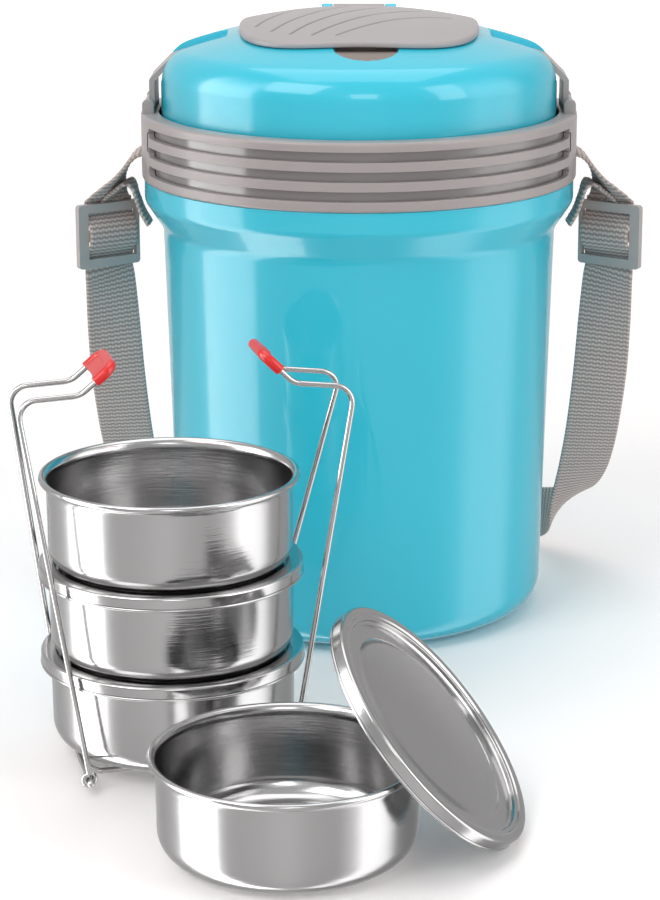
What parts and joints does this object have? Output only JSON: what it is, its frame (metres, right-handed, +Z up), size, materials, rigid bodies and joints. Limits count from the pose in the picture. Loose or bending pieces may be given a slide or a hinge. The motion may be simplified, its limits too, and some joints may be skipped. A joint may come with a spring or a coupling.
{
  "type": "tiffin carrier",
  "caption": "Insulated electric tiffin carrier with a domed lid, side latches and a webbing strap, beside its wire rack of stacked steel containers and an open container with its lid.",
  "frame": {"origin": "centre of the carrier's foot ring face, on the table plane", "axes": "+Z up along the carrier's axis, -Y towards the indicator side (the front), +X to the right seen from the front"},
  "size_m": [0.2638, 0.4569, 0.2729],
  "materials": {
    "blue_plastic": "high gloss",
    "grey_plastic": "satin moulded",
    "liner_plastic": "gloss",
    "dark_plastic": "satin",
    "buckle_plastic": "satin",
    "lamp_plastic": "clear gloss",
    "foam": "open foam",
    "foot_rubber": "matte",
    "seal_rubber": "matte",
    "cord_rubber": "matte",
    "pot_steel": "satin polished",
    "wire_steel": "bright drawn",
    "screw_steel": "plated",
    "pin_brass": "plain",
    "heater_aluminium": "plain",
    "webbing": "woven",
    "grip_red": "dipped"
  },
  "bodies": {
    "carrier": {"outer_shell": "blue_plastic", "base_plate": "dark_plastic", "foot_ring": "foot_rubber", "base_screws": "screw_steel", "inner_vessel": "pot_steel", "foam_insulation": "foam", "heater_plate": "heater_aluminium", "thermostat": "dark_plastic", "indicator_bezel": "lamp_plastic", "indicator_lens": "lamp_plastic", "power_inlet": "dark_plastic", "inlet_pins": "pin_brass", "ring_collar": "grey_plastic", "collar_liner_front": "liner_plastic", "collar_liner_back": "liner_plastic", "latch_pins": "screw_steel"},
    "lid": {"lid_shell": "blue_plastic", "flap_hinge_pin": "screw_steel", "lid_liner": "pot_steel", "lid_gasket": "seal_rubber", "lid_foam": "foam", "cord_tray": "grey_plastic", "power_cord": "cord_rubber", "cord_plug": "cord_rubber"},
    "flap": {"lid_flap": "grey_plastic"},
    "latch_right": {"latch_right": "grey_plastic"},
    "latch_left": {"latch_left": "grey_plastic"},
    "strap": {"shoulder_strap": "webbing", "buckle_right": "buckle_plastic", "buckle_left": "buckle_plastic"},
    "rack": {"rack_base": "wire_steel"},
    "arm_left": {"rack_arm_left": "wire_steel", "grip_left": "grip_red"},
    "arm_right": {"rack_arm_right": "wire_steel", "grip_right": "grip_red"},
    "pot_bottom": {"container_bottom": "pot_steel"},
    "cover_bottom": {"lid_bottom": "pot_steel"},
    "pot_middle": {"container_middle": "pot_steel"},
    "cover_middle": {"lid_middle": "pot_steel"},
    "pot_top": {"container_top": "pot_steel"},
    "pot_front": {"container_front": "pot_steel"},
    "cover_front": {"lid_front": "pot_steel"}
  },
  "joints": [
    {"name": "lid_lift", "type": "slide", "parent": "carrier", "child": "lid", "axis": [0, 0, 1], "range_m": [0, 0.043]},
    {"name": "latch_right_swing", "type": "hinge", "parent": "carrier", "child": "latch_right", "pos_m": [0.093, 0, 0.2317], "axis": [0, 1, 0], "range_deg": [0, 100]},
    {"name": "latch_left_swing", "type": "hinge", "parent": "carrier", "child": "latch_left", "pos_m": [-0.093, 0, 0.2317], "axis": [0, -1, 0], "range_deg": [0, 100]},
    {"name": "flap_hinge", "type": "hinge", "parent": "lid", "child": "flap", "pos_m": [0, 0.0624, 0.2656], "axis": [-1, 0, 0], "range_deg": [0, 105]},
    {"name": "strap_swing", "type": "hinge", "parent": "carrier", "child": "strap", "pos_m": [0, 0, 0.2092], "axis": [1, 0, 0], "range_deg": [0, 115]},
    {"name": "rack_lift", "type": "slide", "parent": "carrier", "child": "rack", "axis": [0, 0, 1], "range_m": [0, 0.25]},
    {"name": "arm_left_swing", "type": "hinge", "parent": "rack", "child": "arm_left", "pos_m": [-0.11281, -0.20168, 0.0046], "axis": [0.2419, -0.9703, 0], "range_deg": [-1.5, 50]},
    {"name": "arm_right_swing", "type": "hinge", "parent": "rack", "child": "arm_right", "pos_m": [-0.03519, -0.18232, 0.0046], "axis": [-0.2419, 0.9703, 0], "range_deg": [-6, 45.5]},
    {"name": "pot_bottom_lift", "type": "slide", "parent": "rack", "child": "pot_bottom", "axis": [0, 0, 1], "range_m": [0, 0.005]},
    {"name": "cover_bottom_lift", "type": "slide", "parent": "pot_bottom", "child": "cover_bottom", "axis": [0, 0, 1], "range_m": [0, 0.007]},
    {"name": "pot_middle_lift", "type": "slide", "parent": "cover_bottom", "child": "pot_middle", "axis": [0, 0, 1], "range_m": [0, 0.007]},
    {"name": "cover_middle_lift", "type": "slide", "parent": "pot_middle", "child": "cover_middle", "axis": [0, 0, 1], "range_m": [0, 0.007]},
    {"name": "pot_top_lift", "type": "slide", "parent": "cover_middle", "child": "pot_top", "axis": [0, 0, 1], "range_m": [0, 0.01]},
    {"name": "pot_front_lift", "type": "slide", "parent": "carrier", "child": "pot_front", "axis": [0, 0, 1], "range_m": [0, 0.1]},
    {"name": "cover_front_lift", "type": "slide", "parent": "pot_front", "child": "cover_front", "axis": [0.7503, -0.13, 0.6482], "range_m": [0, 0.12]}
  ],
  "couplings": [
    {"joint": "latch_right_swing", "follows": "lid_lift", "rad_per_m": 40},
    {"joint": "latch_left_swing", "follows": "lid_lift", "rad_per_m": 40}
  ]
}
